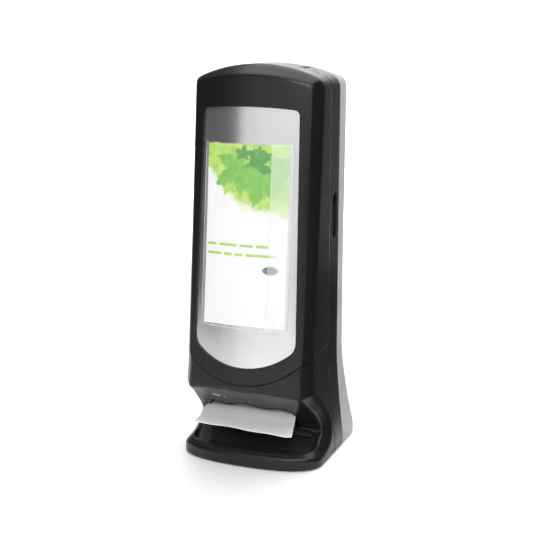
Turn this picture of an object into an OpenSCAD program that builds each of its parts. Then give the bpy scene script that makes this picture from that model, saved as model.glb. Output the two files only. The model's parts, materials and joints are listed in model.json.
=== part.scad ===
// Tower napkin dispenser: a leaning front door with a display window, a scooped dispensing
// front with its tray, a black housing, a grey back cover and a weighted base. Millimetres.
// X is the width, the front faces -Y and Z is up. The feet rest on z = 0.

/* [Body] */
// Overall height
body_h = 622; // [600:1:640]
// Half of the body's width above the flare
body_half = 105; // [103:0.5:107]
// Half of the base's width, and of its depth
base_half = 117.5; // [115:0.5:120]
// Wall thickness of the mouldings
wall = 3; // [2:0.5:3.5]
// Lean of the front face, in degrees
lean = 5.6; // [4.5:0.1:6.5]
// Radius of the front face's bow
bow_r = 333; // [300:1:380]

/* [Window and card] */
// Half width of the window at its top
window_top_half = 76.5; // [72:0.5:78]
// Half width of the window at its bottom
window_foot_half = 83.8; // [80:0.5:85]
// Width of the insert card
card_w = 134; // [120:1:136]
// Height of the insert card
card_h = 277; // [240:1:285]
// Thickness of the insert card
card_t = 0.5; // [0.3:0.1:0.8]

/* [Napkins] */
// Width of the folded napkins
napkin_w = 165; // [160:1:166]
// Depth of the folded napkins
napkin_d = 107; // [100:1:108]
// Height of the full stack
stack_h = 440; // [300:5:445]

/* [Mechanism] */
// Radius of the hinge pins
pin_r = 1.75; // [1.5:0.05:2]
// Radius of the follower's guide rods
rod_r = 3; // [2.5:0.1:3.5]
// Radial clearance of running fits
run_fit = 0.05; // [0.02:0.01:0.1]
// Travel of the latch
latch_travel = 12; // [8:1:12]

/* [Hidden] */
$fn = 96;

gap = 0.3;
far = 400;

// The face's foot overhangs the tray by this much, so the body's axis lies behind the footprint's centre
overhang = 5.2;
tray_y = -base_half;
base_rear = base_half - overhang;

// Planes where the mouldings meet
seam_y = -7.5;
grey_y = 35;
rear_y = 82;
skirt_z = 2;

// Front face: where it starts, and the shape of its flat, chamfers and seam
face_y = tray_y;
face_z = 180;
flat_half = 94;
chamfer_v = 33;
seam_mid_z = 135.5;
seam_end_z = 173;
seam_r = (pow(flat_half, 2) + pow(seam_end_z - seam_mid_z, 2)) / (2 * (seam_end_z - seam_mid_z));

// Arched top and its shoulders
arch_r = 240;
shoulder_r = 22;
arch_cz = body_h - arch_r;
shoulder_x = body_half - shoulder_r;
shoulder_z = arch_cz + sqrt(pow(arch_r - shoulder_r, 2) - pow(shoulder_x, 2));
shoulder_end = atan2(shoulder_z - arch_cz, shoulder_x);
crown_r = 195;
crown_z = 607;
crown_y = -75.6;
crown_slope = 0.7;

// Flare of the base
flare_top = 170;
flare_low = 20;
flare_power = 1.5;
flare_step = 10;
rear_corner = 14;
rear_crown = [[60, 611], [75, 592], [rear_y, 568]];

// Window
window_top_z = 555.5;
window_foot_z = 199;
window_mid_z = 162;
panel_t = 2;
pocket_t = 1.2;
card_x = -1;
card_z = 228;
panel_lap = 5;

// Scoop, throat and tray, as points of the side view from the ridge down to the tray's rim
scoop = [[-125, 129.5], [-87, 103.5], [-60, 80.5], [-41, 63], [-34, 53], [-33, 46], [-37, 39],
         [-48, 32], [-62, 28.5], [-104, 28.5], [-125, 14.5]];
trough = [[-106, 29.5], [-98, 17], [-86, 12], [-74, 12], [-64, 19], [-52, 29], [-40, 34],
          [-28, 36], [-28, 45], [-106, 45]];
lip_points = [[-84, 40], [-84, 66], [-78, 84], [-66, 83.5], [-52, 79.5], [-38, 80.5], [-24, 86], [-8, 84],
              [8, 80], [22, 80], [36, 83], [50, 84], [60, 80], [65, 70], [66, 60], [66, 40]];
slot_half = 84;
napkin_x0 = -80;
napkin_x1 = 64;
napkin_side = [[-97, 53.5], [-94, 55.5], [-60, 62], [-34, 68], [-34, 65], [-60, 59], [-96, 52]];
throat_half = 90;
throat_y = -36;
throat_wall_y = -30;
throat_z0 = 9;
throat_step_z = 41;
throat_z1 = 61;
trough_half = 101;
trough_r = 34;
trough_y = -105;
pan_half = 90;
pan_t = 5;
ballast_t = 22;
ballast_hole_r = 2.2;
foot_x = 76;
foot_r = 11;
tray_d = 55.5;
tray_power = 2.5;
rim_z = 27;
rim_low_z = 18;
rim_w = 13.5;
chamfer_run = body_half - flat_half - 0.5;
shell_z = 50;
chamfer_turn = atan2(22, chamfer_run);

// Magazine and follower
mag_x = napkin_w / 2 + 1.5;
mag_y0 = -40;
stack_y0 = -56;
stack_z = 95;
mag_back_y = stack_y0 + napkin_d + 2;
guide_t = 1.5;
mag_top = 588;
mag_z = 72;
rod_x = 58;
rod_y = mag_back_y + 11;
follower_z = stack_z + stack_h + gap;
weight_size = [118, 66, 12];

// Door hinge on the left edge
hinge_x = -body_half - 1.85;
hinge_y = seam_y - gap / 2;
knuckle_r = 4;
knuckle_h = 12;
leaf_t = 1.8;
leaf_w = 20;
relief = 1.2;
hinge_zs = [215, 515];

// Latch in the right wall
grip_z0 = 350;
grip_z1 = 423;
grip_y0 = 5;
grip_y1 = 22;
plate_x = body_half - wall - gap;
plate_t = 3.4;
hook_x = 91.5;
hook_w = 4;
hook_z = 392;
tooth_z = 384;
finger_y = 7.5;

function sq(x) = x * x;
function flare(z) = z >= flare_top ? 0
    : (base_half - body_half) * pow((flare_top - max(z, flare_low)) / (flare_top - flare_low), flare_power);
function rear_flare(z) = flare(z) * (base_rear - rear_y) / (base_half - body_half);
function flare_zs() = [for (z = [flare_low : flare_step : flare_top]) z];
function backwards(list) = [for (i = [len(list) - 1 : -1 : 0]) list[i]];
function mirrored(list) = [for (p = backwards(list)) [-p[0], p[1]]];
// Points of an arc about c, without its first point
function arc(c, r, a0, a1, n) =
    [for (i = [1 : n]) let (a = a0 + (a1 - a0) * i / n) c + r * [cos(a), sin(a)]];
function all_but_last(list) = [for (i = [0 : len(list) - 2]) list[i]];

// Right half of the front view, from the foot up to the apex, set in by t
function right_side(t, z0) = concat(
    [[body_half + flare(0) - t, z0]],
    [for (z = flare_zs()) [body_half + flare(z) - t, z]],
    [[body_half - t, shoulder_z]],
    arc([shoulder_x, shoulder_z], shoulder_r - t, 0, shoulder_end, 8),
    arc([0, arch_cz], arch_r - t, shoulder_end, 90, 12));

// Rear edge of the side view, from the foot up to the top, set in by t
function rear_edge(t, z0) = concat(
    [[rear_y + rear_flare(0) - t, z0]],
    [for (z = flare_zs()) [rear_y + rear_flare(z) - t, z]],
    [for (p = backwards(rear_crown)) p - [t, t]],
    [[grey_y, body_h - t]]);

module along_y(y0, y1) {
    translate([0, y1, 0]) rotate([90, 0, 0]) linear_extrude(y1 - y0) children();
}

module along_x(x0, x1) {
    translate([x0, 0, 0]) rotate([90, 0, 90]) linear_extrude(x1 - x0) children();
}

// The front face's own frame: z runs up the lean and y is the depth behind the face
module leaning() {
    translate([0, face_y, face_z]) rotate([-lean, 0, 0]) children();
}

// Carries a piece from the body's own axis to the centre of the footprint
module placed() {
    translate([0, overhang, 0]) children();
}

module both_sides() {
    children();
    mirror([1, 0, 0]) children();
}

// Outside of the whole body in the front view, set in by t and starting at z0
module front_view(t, z0) {
    right = right_side(t, z0);
    polygon(concat(right, mirrored(all_but_last(right))));
}

// Depth of the rear, with chamfered vertical corners that follow the flare
module rear_body(t, z0, y0) {
    turn = 45;
    intersection() {
        along_y(y0, far) front_view(t, z0);
        along_x(-far, far) polygon(concat([[y0 - 1, z0]], rear_edge(t, z0), [[y0 - 1, body_h - t]]));
        for_corner(turn) polygon(concat([[-far, z0]], corner_edge(t, z0), [[-far, body_h]]));
        mirror([1, 0, 0])
            for_corner(turn) polygon(concat([[-far, z0]], corner_edge(t, z0), [[-far, body_h]]));
    }
}

function corner_edge(t, z0) = concat(
    [[corner_reach(0) - t, z0]],
    [for (z = flare_zs()) [corner_reach(z) - t, z + flare_step / 3]],
    [[corner_reach(flare_top) - t, body_h]]);
function corner_reach(z) = (body_half + flare(z) + rear_y + rear_flare(z) - rear_corner) * cos(45);

module for_corner(turn) {
    rotate([0, 0, turn]) translate([0, far, 0]) rotate([90, 0, 0]) linear_extrude(2 * far) children();
}

// The leaning, bowed column of the front, set in by t
module front_column(t) {
    leaning() translate([0, bow_r, -far]) cylinder(h = 2.5 * far, r = bow_r - t, $fn = 256);
}

// The two chamfers between the bowed face and the sides, set in by t
module flat_chamfer(t) {
    spread = 20;
    edge_v = sq(flat_half) / (2 * bow_r);
    back_v = edge_v + (chamfer_v - edge_v) * (body_half + spread - flat_half) / (body_half - flat_half);
    leaning() translate([0, 0, -far]) linear_extrude(2.5 * far)
        polygon([[-body_half - spread, far], [-body_half - spread, back_v + t],
                 [-flat_half + t / 3, edge_v + t],
                 [-flat_half + t / 3, -30], [flat_half - t / 3, -30], [flat_half - t / 3, edge_v + t],
                 [body_half + spread, back_v + t], [body_half + spread, far]]);
}

// Cone that chamfers the arched top towards the face; it leaves what is below its axis alone
module crown(t) {
    depth = 90;
    axis_z = crown_z - crown_r;
    translate([0, crown_y - 20, axis_z]) rotate([-90, 0, 0])
        cylinder(h = depth, r1 = crown_r - 20 * crown_slope - t,
                 r2 = crown_r + (depth - 20) * crown_slope - t, $fn = 180);
    translate([-far, -far, -far]) cube([2 * far, far, far + axis_z]);
}

// Everything in front of the seam plane, above and below the door's lower edge
module front_body(t, z0) {
    intersection() {
        along_y(-far / 2, seam_y - gap + t) front_view(t, z0);
        front_column(t);
        flat_chamfer(t);
        crown(t);
    }
}

// Space above the smile-shaped edge between the door and the dispensing front
module above_seam(rise) {
    along_y(-far / 2, far / 2) difference() {
        translate([-far / 2, 0]) square([far, far * 2]);
        translate([0, seam_mid_z + seam_r + rise]) difference() {
            translate([-far, -2 * far]) square([2 * far, 2 * far + far]);
            circle(seam_r, $fn = 180);
            translate([-far, -(seam_r - (seam_end_z - seam_mid_z))]) square([2 * far, 4 * far]);
        }
    }
}

// A window outline in the front view, set in by t
module window_view(t) {
    top_r = sq(window_top_half) / (2 * 4.5);
    foot_h = window_foot_z - window_mid_z - 4;
    foot_r = (sq(window_foot_half) + sq(foot_h)) / (2 * foot_h);
    intersection() {
        polygon([[-window_foot_half + t, 100], [-window_foot_half + t, window_foot_z],
                 [-window_top_half + t, window_top_z], [-window_top_half + t, 600],
                 [window_top_half - t, 600], [window_top_half - t, window_top_z],
                 [window_foot_half - t, window_foot_z], [window_foot_half - t, 100]]);
        translate([0, window_top_z + 3 - top_r]) circle(top_r - t, $fn = 180);
        translate([0, window_mid_z + foot_r]) union() {
            circle(foot_r - t, $fn = 180);
            translate([-far / 2, 0]) square([far, far]);
            translate([-far / 2, -foot_r + foot_h + 14]) square([far, far]);
        }
    }
}

// A bowed sheet that lies behind the face, from depth v0 to v1
module bowed_sheet(v0, v1) {
    leaning() difference() {
        translate([0, bow_r, -far / 4]) cylinder(h = 1.5 * far, r = bow_r - v0, $fn = 256);
        translate([0, bow_r, -far / 4 - 1]) cylinder(h = 1.5 * far + 2, r = bow_r - v1, $fn = 256);
        translate([-far, 60, -far]) cube([2 * far, far * 2, 3 * far]);
    }
}

module front_cover() {
    color([0.06, 0.06, 0.065]) placed() difference() {
        intersection() {
            front_body(0, skirt_z);
            above_seam(0);
        }
        front_body(wall, skirt_z - 1);
        along_y(-far / 2, -50) window_view(0);
        hinge_relief();
    }
}

module window_panel() {
    color([0.75, 0.75, 0.77]) placed() intersection() {
        bowed_sheet(wall + gap, wall + gap + panel_t);
        along_y(-far / 2, -40) window_view(-panel_lap);
    }
}

module panel_frame() {
    color([0.1, 0.1, 0.1]) placed() difference() {
        intersection() {
            bowed_sheet(wall + 2 * gap + panel_t, wall + 2 * gap + panel_t + 2);
            along_y(-far / 2, -40) window_view(-panel_lap);
        }
        along_y(-far / 2, 0) window_view(panel_lap);
    }
}

// Screw heads on the back of the panel's frame
module panel_screws() {
    v = wall + 2 * gap + panel_t + 2;
    color([0.6, 0.6, 0.62]) placed() both_sides() for (h = [60, 200, 340]) {
        x = window_top_half - 0.02 * (h - 340);
        leaning() translate([0, bow_r, h]) rotate([0, 0, asin(x / bow_r)])
            translate([0, v - bow_r + run_fit, 0]) rotate([-90, 0, 0]) cylinder(h = 2, r = 3);
    }
}

// The card's outline in the face's own frame, grown by g at its sides and foot
module card_view(g, top) {
    translate([card_x - card_w / 2 - g, card_z - face_z - g]) square([card_w + 2 * g, card_h + g + top]);
}

module on_face() {
    leaning() rotate([90, 0, 0]) translate([0, 0, -60]) linear_extrude(120) children();
}

module insert_card() {
    color([0.95, 0.96, 0.95]) placed() intersection() {
        bowed_sheet(wall - card_t, wall);
        on_face() card_view(0, 0);
    }
}

// Clear pocket: a front sheet with a folded edge down each side and along its foot
module card_pocket() {
    color([0.9, 0.92, 0.93, 0.4]) placed() {
        intersection() {
            bowed_sheet(wall - card_t - gap - pocket_t, wall - card_t - gap);
            on_face() card_view(4, 2);
        }
        intersection() {
            bowed_sheet(wall - card_t - gap, wall + gap - run_fit);
            on_face() difference() {
                card_view(4, 2);
                card_view(1, 20);
            }
        }
    }
}

module door_liner() {
    half = 92;
    color([0.8, 0.8, 0.8]) placed() {
        intersection() {
            bowed_sheet(wall + 9, wall + 11);
            along_y(-far / 2, 0) translate([-half, 190]) square([2 * half, 370]);
        }
        both_sides() intersection() {
            bowed_sheet(wall + gap, wall + 9.5);
            along_y(-far / 2, 0) translate([half - 2, 190]) square([2, 370]);
        }
    }
}

module catch_hook() {
    color([0.6, 0.6, 0.62]) placed() {
        translate([body_half - wall - 1.5 - gap, -34, hook_z - 6]) cube([1.5, 22, 20]);
        translate([hook_x, -16, hook_z]) cube([body_half - wall - gap - hook_x, 4, 8]);
        translate([hook_x, -16, hook_z]) cube([hook_w, finger_y + 8.5 + 16, 8]);
        translate([hook_x, finger_y + 4.5, tooth_z]) cube([hook_w, 4, hook_z - tooth_z + 2]);
    }
}

module catch_screws() {
    color([0.5, 0.5, 0.52]) placed() for (z = [hook_z - 1, hook_z + 9])
        translate([body_half - wall - gap - 3, -28, z]) rotate([0, 90, 0]) cylinder(h = 1.4, r = 2.4);
}

// One hinge knuckle with its leaf, on the door's side or the housing's
module knuckle(z, h, toward) {
    difference() {
        union() {
            translate([hinge_x, hinge_y, z]) cylinder(h = h, r = knuckle_r);
            translate([hinge_x + gap, hinge_y + min(0, toward * leaf_w), z])
                cube([leaf_t - gap, leaf_w, h]);
        }
        translate([hinge_x, hinge_y, z - 1]) cylinder(h = h + 2, r = pin_r + (toward < 0 ? run_fit : 0));
    }
}

// Notch through the side walls, round the knuckles
module hinge_relief() {
    for (z = hinge_zs) translate([hinge_x, hinge_y, z - relief])
        cylinder(h = 3 * knuckle_h + 2 * (gap + relief), r = knuckle_r + relief);
}

module hinge_leaves_door() {
    color([0.12, 0.12, 0.12]) placed() for (z = hinge_zs) knuckle(z + knuckle_h + gap, knuckle_h, -1);
}

module hinge_leaves_fixed() {
    color([0.12, 0.12, 0.12]) placed() for (z = hinge_zs, i = [0, 1])
        knuckle(z + i * 2 * (knuckle_h + gap), knuckle_h, 1);
}

module hinge_pins() {
    color([0.7, 0.7, 0.72]) placed() for (z = hinge_zs)
        translate([hinge_x, hinge_y, z]) cylinder(h = 3 * knuckle_h + 2 * gap, r = pin_r);
}

// Side view of the scoop, throat and tray, swept along x and along both cheek chamfers
module scoop_sweep(t) {
    profile = concat([for (p = scoop) p + t * [0.7, 0.7]],
                     [[-125, -20], [far, -20], [far, far], [-125, far]]);
    along_x(-far, far) polygon(profile);
}

module cheek_sweep(t) {
    squeeze = cos(chamfer_turn);
    profile = concat([for (p = scoop) [squeeze * (p[0] + 0.7 * t), p[1] + 0.7 * t]],
                     [[-60, -20], [far, -20], [far, far], [-60, far]]);
    translate([flat_half + 1, 0, 0]) rotate([0, 0, chamfer_turn]) along_x(-far, far) polygon(profile);
}

// Rounded plan of the tray: a front curve that turns into straight sides
function tray_front(x) = tray_y
    + tray_d * (1 - pow(1 - pow(abs(x) / base_half, tray_power), 1 / tray_power));
module tray_outline() {
    steps = 24;
    front = [for (i = [-steps : steps]) base_half * sin(90 * i / steps)];
    polygon(concat([[-base_half, seam_y - gap]], [for (x = front) [x, tray_front(x)]],
                   [[base_half, seam_y - gap]]));
}

// The scooped block that runs on down from the door's face, set in by t
module scoop_block(t) {
    intersection() {
        along_y(-far / 2, seam_y - gap + t) front_view(t, skirt_z);
        front_column(t);
        flat_chamfer(t);
        scoop_sweep(t);
        cheek_sweep(t);
        mirror([1, 0, 0]) cheek_sweep(t);
        translate([-far, -far, 24]) cube([2 * far, 2 * far, far]);
    }
}

// The dispensing front as one block: what is in front of the seam plane and below the door
module lower_block() {
    difference() {
        union() {
            scoop_block(0);
            intersection() {
                along_y(-far / 2, seam_y - gap) front_view(0, skirt_z);
                translate([0, 0, skirt_z]) linear_extrude(rim_z - skirt_z) tray_outline();
                along_x(-far, far) polygon([[tray_y, 0], [tray_y, rim_low_z], [tray_y + rim_w, rim_z],
                                            [0, rim_z], [0, 0]]);
                along_y(-far, far) polygon([[-base_half, 0], [-base_half, rim_low_z],
                                            [rim_w - base_half, rim_z], [base_half - rim_w, rim_z],
                                            [base_half, rim_low_z], [base_half, 0]]);
            }
        }
        above_seam(-gap);
    }
}

// Trough behind the rim, rounded at its two front corners
module tray_trough() {
    steps = 12;
    intersection() {
        along_x(-far, far) polygon(trough);
        linear_extrude(60) polygon(concat(
            [[-trough_half, 0]],
            [for (i = [0 : steps]) [-trough_half + trough_r - trough_r * cos(90 * i / steps),
                                    trough_y + trough_r - trough_r * sin(90 * i / steps)]],
            [for (i = [0 : steps]) [trough_half - trough_r + trough_r * sin(90 * i / steps),
                                    trough_y + trough_r - trough_r * cos(90 * i / steps)]],
            [[trough_half, 0]]));
    }
}

module dispensing_front() {
    color([0.06, 0.06, 0.065]) placed() difference() {
        lower_block();
        intersection() {
            scoop_block(wall);
            translate([-far, -far, shell_z]) cube([2 * far, 2 * far, far]);
        }
        translate([-throat_half, throat_y, throat_z0])
            cube([2 * throat_half, seam_y - throat_y, throat_step_z - throat_z0]);
        translate([-throat_half, throat_wall_y, throat_z0])
            cube([2 * throat_half, seam_y - throat_wall_y, throat_z1 - throat_z0]);
        tray_trough();
        along_y(-80, 0) polygon(lip_points);
        translate([-pan_half - 2, -98, skirt_z - 1]) cube([2 * pan_half + 4, 92, 6 + gap]);
    }
}

// Plate at the foot of the slot, which the napkins slide over
module lower_lip() {
    color([0.1, 0.1, 0.1]) placed() along_x(-slot_half - 5, slot_half + 5)
        polygon([[-41, 34.8], [-43, 36.2], [-41, 37.6], [-12, 39], [-12, 36.5], [-36, 35.2]]);
}

// Stiff strip behind the wavy upper lip
module slot_lip() {
    color([0.2, 0.2, 0.2]) placed() translate([0, 0, 6]) intersection() {
        along_x(-83, 83) polygon([[-62, 88], [-40, 69], [-38, 72], [-60, 91]]);
        along_y(-80, 0) difference() {
            translate([-83, 60]) square([166, 60]);
            polygon(lip_points);
        }
    }
}

module rear_housing() {
    color([0.05, 0.05, 0.055]) placed() difference() {
        intersection() {
            rear_body(0, skirt_z, seam_y);
            translate([-far, seam_y, 0]) cube([2 * far, grey_y - seam_y, 2 * far]);
        }
        intersection() {
            rear_body(wall, -10, seam_y - 5);
            translate([-far, seam_y - 1, -10]) cube([2 * far, grey_y - seam_y + 2, 2 * far]);
        }
        translate([body_half - 10, 0, 0]) grip_slot();
        hinge_relief();
    }
}

module grip_slot() {
    r = (grip_y1 - grip_y0) / 2;
    rotate([90, 0, 90]) linear_extrude(20) union() {
        translate([grip_y0 + r, grip_z0 + r]) circle(r);
        translate([grip_y0 + r, grip_z1 - r]) circle(r);
        translate([grip_y0, grip_z0 + r]) square([2 * r, grip_z1 - grip_z0 - 2 * r]);
    }
}

module back_cover() {
    color([0.62, 0.62, 0.63]) placed() difference() {
        intersection() {
            rear_body(0, skirt_z, grey_y - 5);
            translate([-far, grey_y + gap, 0]) cube([2 * far, far, 2 * far]);
        }
        intersection() {
            rear_body(wall, -10, grey_y - 5);
            translate([-far, grey_y - 1, -10]) cube([2 * far, far, 2 * far]);
        }
    }
}

// Screws through the back cover into the housing's frame
module back_cover_screws() {
    color([0.55, 0.55, 0.57]) placed() both_sides() for (z = [215, 400, 560])
        translate([70, rear_y, z]) rotate([-90, 0, 0]) cylinder(h = 1.5, r = 4);
}

module base_pan() {
    inset = 4;
    corner = 20;
    half = base_half - inset;
    rear = base_rear - inset;
    color([0.15, 0.15, 0.15]) placed() translate([0, 0, skirt_z]) difference() {
        linear_extrude(pan_t) polygon([[-pan_half, -96], [pan_half, -96], [pan_half, seam_y + 3],
            [half, seam_y + 3], [half, rear - corner], [half - corner, rear], [corner - half, rear],
            [-half, rear - corner], [-half, seam_y + 3], [-pan_half, seam_y + 3]]);
        ballast_holes();
    }
}

module ballast_holes() {
    for (x = [-60, 60], y = [20, 66]) translate([x, y, -1]) cylinder(h = 40, r = ballast_hole_r);
}

module ballast_plate() {
    color([0.4, 0.4, 0.42]) placed() translate([0, 0, skirt_z + pan_t]) difference() {
        translate([-80, 2, 0]) cube([160, 82, ballast_t]);
        ballast_holes();
    }
}

module ballast_screws() {
    color([0.6, 0.6, 0.62]) placed() for (x = [-60, 60], y = [20, 66]) translate([x, y, skirt_z]) {
        cylinder(h = pan_t + ballast_t, r = ballast_hole_r - 0.1);
        translate([0, 0, pan_t + ballast_t]) cylinder(h = 3, r = 4);
    }
}

module rubber_feet() {
    color([0.1, 0.1, 0.1]) placed() for (x = [-foot_x, foot_x], y = [-80, 88])
        translate([x, y, 0]) cylinder(h = skirt_z, r = foot_r);
}

module magazine_side() {
    translate([mag_x, mag_y0, mag_z]) cube([guide_t, mag_back_y - mag_y0 - 0.2, mag_top - mag_z]);
    translate([mag_x, mag_back_y - 12, 120]) cube([body_half - wall - gap - mag_x, guide_t, 60]);
    translate([mag_x, mag_back_y - 12, 500]) cube([body_half - wall - gap - mag_x, guide_t, 60]);
}

module magazine_right() {
    color([0.75, 0.75, 0.75]) placed() magazine_side();
}

module magazine_left() {
    color([0.75, 0.75, 0.75]) placed() mirror([1, 0, 0]) magazine_side();
}

module magazine_back() {
    color([0.7, 0.7, 0.7]) placed() difference() {
        translate([-mag_x, mag_back_y, mag_z]) cube([2 * mag_x, guide_t, mag_top - mag_z]);
        both_sides() translate([rod_x - 5, mag_back_y - 1, 100]) cube([10, guide_t + 2, mag_top - 112]);
    }
}

// Plate that the stack stands on, with the opening that the lowest napkin is drawn through
module throat_plate() {
    color([0.3, 0.3, 0.3]) placed() difference() {
        translate([-mag_x + 0.2, mag_y0 - 12, stack_z - 4])
            cube([2 * mag_x - 0.4, mag_back_y - mag_y0 + 11.5, 3]);
        translate([-58, -34, stack_z - 6]) cube([116, 46, 8]);
    }
}

module retaining_fingers() {
    color([0.85, 0.85, 0.85]) placed() both_sides() translate([36, -34, stack_z - 6.5]) cube([12, 14, 2.2]);
}

module rod_bracket(z) {
    color([0.45, 0.45, 0.47]) placed() difference() {
        translate([-mag_x + 8, mag_back_y + guide_t, z]) cube([2 * mag_x - 16, 17, 5]);
        both_sides() translate([rod_x, rod_y, z - 1]) cylinder(h = 7, r = rod_r);
    }
}

module rod_bracket_upper() {
    rod_bracket(mag_top - 10);
}

module rod_bracket_lower() {
    rod_bracket(stack_z - 10);
}

module guide_rods() {
    color([0.75, 0.75, 0.77]) placed() both_sides() translate([rod_x, rod_y, stack_z - 10])
        cylinder(h = mag_top - stack_z + 5, r = rod_r);
}

module follower_plate() {
    color([0.25, 0.25, 0.26]) placed() translate([0, 0, follower_z]) {
        difference() {
            union() {
                translate([-mag_x + 3, stack_y0 + 6, 0]) cube([2 * mag_x - 6, napkin_d - 10, 3]);
                both_sides() translate([rod_x - 3.5, mag_back_y - 6, 0]) cube([7, 10, 3]);
                both_sides() translate([rod_x, rod_y, 0]) cylinder(h = 14, r = 7);
            }
            both_sides() translate([rod_x, rod_y, -1]) cylinder(h = 16, r = 5);
        }
        translate([-18, stack_y0 + 6, 3]) cube([36, 3, 14]);
        translate([-18, stack_y0 + 6, 17]) cube([36, 14, 3]);
    }
}

module follower_bushes() {
    color([0.9, 0.9, 0.88]) placed() both_sides() translate([rod_x, rod_y, follower_z]) difference() {
        cylinder(h = 14, r = 5);
        translate([0, 0, -1]) cylinder(h = 16, r = rod_r + run_fit);
    }
}

module follower_weight() {
    color([0.5, 0.5, 0.52]) placed() translate([-weight_size[0] / 2, -30, follower_z + 3]) difference() {
        cube(weight_size);
        for (x = [14, weight_size[0] - 14]) translate([x, weight_size[1] / 2, -1])
            cylinder(h = weight_size[2] + 2, r = 2.5);
    }
}

module weight_screws() {
    color([0.65, 0.65, 0.67]) placed() translate([-weight_size[0] / 2, -30, follower_z + 3])
        for (x = [14, weight_size[0] - 14]) translate([x, weight_size[1] / 2, 0]) {
            cylinder(h = weight_size[2], r = 2.5);
            translate([0, 0, weight_size[2]]) cylinder(h = 2.4, r = 4.5);
        }
}

module napkin_stack() {
    color([0.97, 0.97, 0.96]) placed() translate([-napkin_w / 2, stack_y0, stack_z])
        cube([napkin_w, napkin_d, stack_h]);
}

// The napkin that hangs out of the slot, over the tray
module napkin() {
    color([0.98, 0.98, 0.97]) placed() along_x(napkin_x0, napkin_x1) polygon(napkin_side);
}

// Rails that hold the latch's plate against the right wall
module latch_guide() {
    color([0.2, 0.2, 0.2]) placed() for (side = [0, 1]) {
        y = side == 0 ? grip_y0 - 5.5 : grip_y1 + 2.3;
        lip = side == 0 ? grip_y0 - 5.5 : grip_y1 - 1;
        translate([plate_x - plate_t - gap - 2, y, 332]) cube([plate_t + 2 * gap + 2, 3.2, 50]);
        translate([plate_x - plate_t - gap - 2, lip, 332]) cube([2, 6.5, 50]);
    }
}

module latch_slide() {
    color([0.08, 0.08, 0.08]) placed() {
        translate([plate_x - plate_t, grip_y0 - 2, 336]) cube([plate_t, grip_y1 - grip_y0 + 4, 92]);
        translate([plate_x - 0.01, grip_y0 + 1, grip_z0 + 8]) cube([2.6, grip_y1 - grip_y0 - 2, 48]);
        translate([hook_x, finger_y, 352]) cube([plate_x - plate_t - hook_x + 0.01, 4, 14]);
        translate([hook_x, finger_y, 352]) cube([hook_w, 4, hook_z - latch_travel - 0.5 - 352]);
    }
}

base_pan();
ballast_plate();
ballast_screws();
rubber_feet();
dispensing_front();
lower_lip();
slot_lip();
rear_housing();
back_cover();
back_cover_screws();
magazine_left();
magazine_right();
magazine_back();
throat_plate();
retaining_fingers();
rod_bracket_upper();
rod_bracket_lower();
guide_rods();
follower_plate();
follower_bushes();
follower_weight();
weight_screws();
napkin_stack();
napkin();
hinge_leaves_fixed();
hinge_pins();
latch_guide();
latch_slide();
front_cover();
window_panel();
panel_frame();
panel_screws();
card_pocket();
insert_card();
door_liner();
catch_hook();
catch_screws();
hinge_leaves_door();
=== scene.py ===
import bpy, bmesh, math, json, random
import numpy as np
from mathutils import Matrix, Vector

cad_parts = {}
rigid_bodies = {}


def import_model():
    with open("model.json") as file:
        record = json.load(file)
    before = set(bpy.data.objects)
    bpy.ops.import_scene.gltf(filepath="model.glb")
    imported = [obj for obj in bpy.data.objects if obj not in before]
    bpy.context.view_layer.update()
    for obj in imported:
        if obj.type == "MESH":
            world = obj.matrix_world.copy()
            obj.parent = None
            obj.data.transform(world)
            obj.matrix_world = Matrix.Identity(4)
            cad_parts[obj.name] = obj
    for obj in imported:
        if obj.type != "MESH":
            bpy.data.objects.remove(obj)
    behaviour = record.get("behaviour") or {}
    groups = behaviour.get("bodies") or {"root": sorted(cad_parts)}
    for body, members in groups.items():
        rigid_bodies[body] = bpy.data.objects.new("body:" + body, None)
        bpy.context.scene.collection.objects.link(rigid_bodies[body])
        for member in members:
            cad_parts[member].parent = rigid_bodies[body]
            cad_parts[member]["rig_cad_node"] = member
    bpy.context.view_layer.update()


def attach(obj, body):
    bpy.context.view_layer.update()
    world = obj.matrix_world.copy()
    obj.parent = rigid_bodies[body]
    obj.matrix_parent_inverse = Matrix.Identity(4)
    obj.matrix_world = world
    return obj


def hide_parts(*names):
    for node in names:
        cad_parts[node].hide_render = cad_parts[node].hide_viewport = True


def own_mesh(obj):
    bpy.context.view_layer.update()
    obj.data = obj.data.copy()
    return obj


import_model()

# ---------------------------------------------------------------- sizes, mm, in the body's own frame
# x runs across, y backwards and z up. The body's own centre lies OVERHANG in front of the frame's origin.
OVERHANG = 5.2
LEAN = math.radians(5.6)                             # the front face leans back
CL, SL = math.cos(LEAN), math.sin(LEAN)
FACE_Y, FACE_Z, BOW = -117.5, 180.0, 333.0           # the face's foot, and the radius of its bow
SEAM_Y, GREY_Y, REAR_Y, SKIRT = -7.5, 35.0, 82.0, 2.0
SEAM_GAP, HOUSING_GAP, COVER_GAP, SMILE_GAP = 0.6, 0.35, 0.35, 0.35
WALL = 3.0
OUTSIDE = -60.0                                      # a depth that leaves a cut without effect
BODY_HALF, BASE_HALF = 105.0, 117.5
FLARE, FLARE_TOP, FLARE_LOW, REAR_FLARE = 12.5, 170.0, 20.0, 2.424
CHAMFER_W, CHAMFER_D, CHAMFER_LEN = 11.0, 16.4, 19.75
ARCH_R, ARCH_Z = 240.0, 382.0
SHOULDER_X, SHOULDER_Z, SHOULDER_R = 83.0, 583.58, 22.0
SHOULDER_SIN, SHOULDER_COS = 0.9247, 0.3807          # the way from the arch's centre to the shoulder's
CROWN_R, CROWN_Z, CROWN_Y, CROWN_SLOPE = 195.0, 412.0, 75.6, 0.7
SMILE_R, SMILE_Z = 136.57, 272.07                    # the smile-shaped seam across the front
SIDE_SEAM_Z, SIDE_SEAM_RISE = 173.0, 0.11            # the same seam where it runs back along the sides
REAR_CORNER = 14.0
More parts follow.
